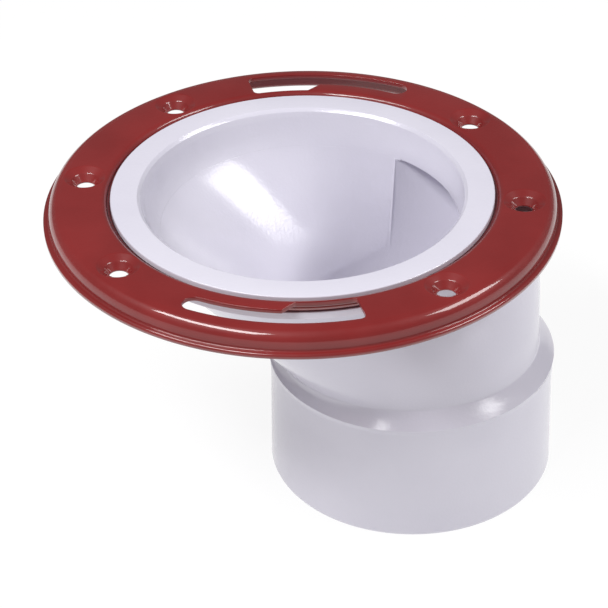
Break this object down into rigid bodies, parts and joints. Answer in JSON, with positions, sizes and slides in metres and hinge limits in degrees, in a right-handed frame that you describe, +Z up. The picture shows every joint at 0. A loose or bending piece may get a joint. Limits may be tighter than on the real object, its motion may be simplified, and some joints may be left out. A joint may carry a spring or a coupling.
{
  "type": "toilet flange",
  "caption": "Offset closet flange: a white PVC body whose round bowl slopes sideways into a short hub, with a red steel ring that turns on its rim.",
  "frame": {"origin": "on the closet ring's axis, in the plane of the outlet's lower end", "axes": "+Z up along the ring's axis; +X from the ring's axis towards the outlet's axis, which is 37.9 mm away; +Y completes a right-handed frame"},
  "size_m": [0.1777, 0.1776, 0.1124],
  "materials": {
    "white_pvc": "satin moulded PVC, slightly cool white",
    "red_painted_steel": "glossy red-brown paint over stamped steel"
  },
  "bodies": {
    "body": {"offset_body": "white_pvc"},
    "ring": {"closet_ring": "red_painted_steel"}
  },
  "joints": [
    {"name": "ring_swivel", "type": "hinge", "parent": "body", "child": "ring", "pos_m": [0, 0, 0.1124], "axis": [0, 0, 1], "continuous": true}
  ]
}
